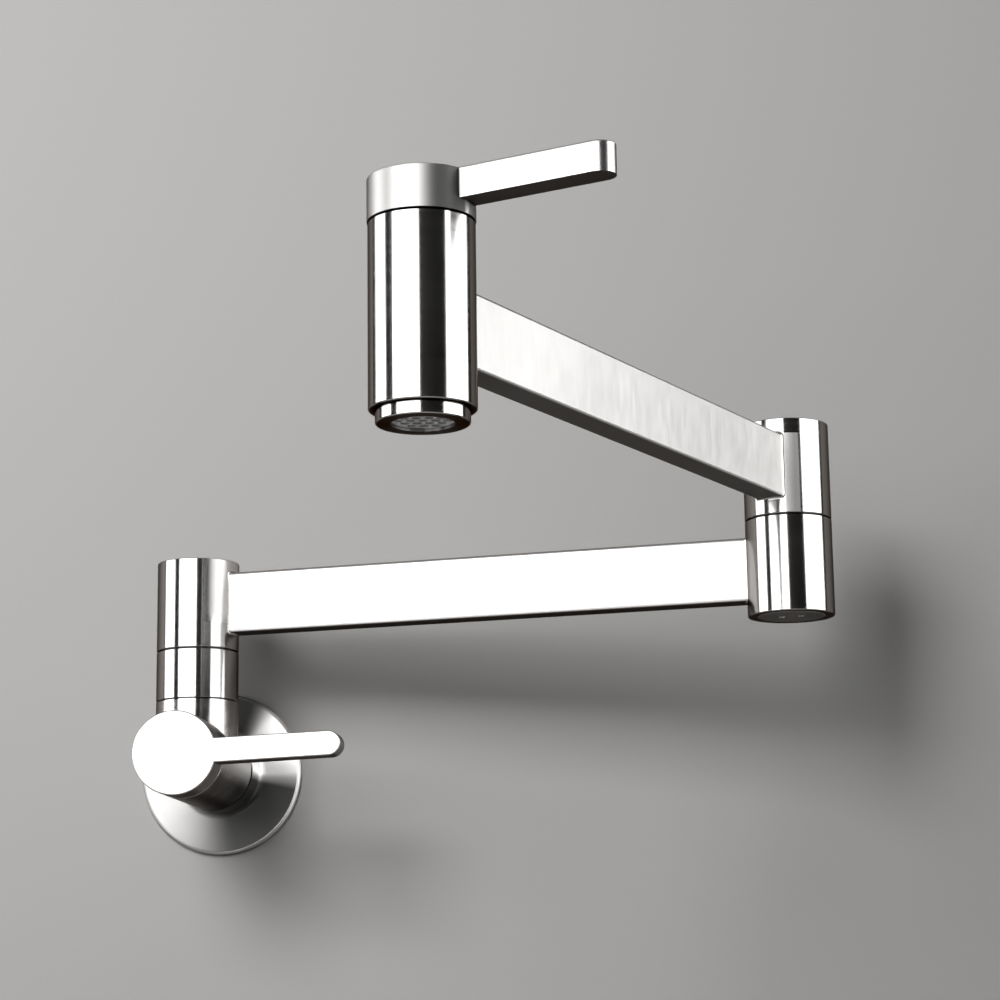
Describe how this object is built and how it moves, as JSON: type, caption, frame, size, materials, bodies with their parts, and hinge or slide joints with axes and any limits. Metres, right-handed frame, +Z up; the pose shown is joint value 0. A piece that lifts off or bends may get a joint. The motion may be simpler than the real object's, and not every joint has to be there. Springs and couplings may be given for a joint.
{
  "type": "wall mounted pot filler",
  "caption": "Wall mounted kitchen tap with two folding flat arms on swivels, a lever valve at the wall and another at the spout.",
  "frame": {"origin": "centre of the inlet thread's mouth, in the plane of the wall", "axes": "+Y along the inlet into the wall, +Z up; the arms reach out along -Y"},
  "size_m": [0.2805, 0.345, 0.1716],
  "materials": {
    "brushed_nickel": "brushed nickel",
    "brass": "turned",
    "stainless": "plain",
    "rubber": "matte",
    "acetal": "matte",
    "ceramic": "lapped ceramic",
    "foam": "foam",
    "aerator_plastic": "matte"
  },
  "bodies": {
    "wall_body": {"wall_flange": "brushed_nickel", "flange_gasket": "foam", "flange_o_ring": "rubber", "valve_body": "brushed_nickel", "wall_cartridge": "brass", "wall_bonnet_seal": "rubber", "wall_seat_seal": "rubber", "wall_fixed_disc": "ceramic", "riser_post": "brushed_nickel", "riser_seal": "rubber", "riser_o_rings": "rubber", "riser_circlip": "stainless"},
    "wall_lever": {"wall_handle": "brushed_nickel", "wall_set_screw": "stainless", "wall_stem": "brass", "wall_stem_o_rings": "rubber", "wall_moving_disc": "ceramic"},
    "arm_1": {"riser_barrel": "brushed_nickel", "riser_thrust_washer": "acetal", "riser_retainer_washer": "acetal", "riser_plug": "brushed_nickel", "arm_1_tube": "brushed_nickel", "elbow_lower_barrel": "brushed_nickel", "elbow_thrust_washer": "acetal", "elbow_retainer_washer": "acetal", "elbow_plug": "brushed_nickel"},
    "arm_2": {"elbow_upper_barrel": "brushed_nickel", "elbow_spigot": "brass", "elbow_seal": "rubber", "elbow_o_rings": "rubber", "elbow_circlip": "stainless", "arm_2_tube": "brushed_nickel", "spout_barrel": "brushed_nickel", "spout_cartridge": "brass", "spout_bonnet_seal": "rubber", "spout_seat_seal": "rubber", "spout_fixed_disc": "ceramic", "aerator_housing": "brushed_nickel", "aerator_insert": "aerator_plastic", "aerator_seal": "rubber"},
    "spout_lever": {"spout_handle": "brushed_nickel", "spout_set_screw": "stainless", "spout_stem": "brass", "spout_stem_o_rings": "rubber", "spout_moving_disc": "ceramic"}
  },
  "joints": [
    {"name": "wall_lever_turn", "type": "hinge", "parent": "wall_body", "child": "wall_lever", "pos_m": [0, -0.0712, 0], "axis": [0, 1, 0], "range_deg": [0, 90]},
    {"name": "riser_swivel", "type": "hinge", "parent": "wall_body", "child": "arm_1", "pos_m": [0, -0.0464, 0.04295], "axis": [0, 0, 1], "range_deg": [-170.1, 9.9]},
    {"name": "elbow_swivel", "type": "hinge", "parent": "arm_1", "child": "arm_2", "pos_m": [0.23189, -0.08687, 0.07985], "axis": [0, 0, 1], "range_deg": [-68.6, 277.4]},
    {"name": "spout_lever_turn", "type": "hinge", "parent": "arm_2", "child": "spout_lever", "pos_m": [0.12778, -0.31746, 0.12545], "axis": [0, 0, 1], "range_deg": [0, 90]}
  ]
}
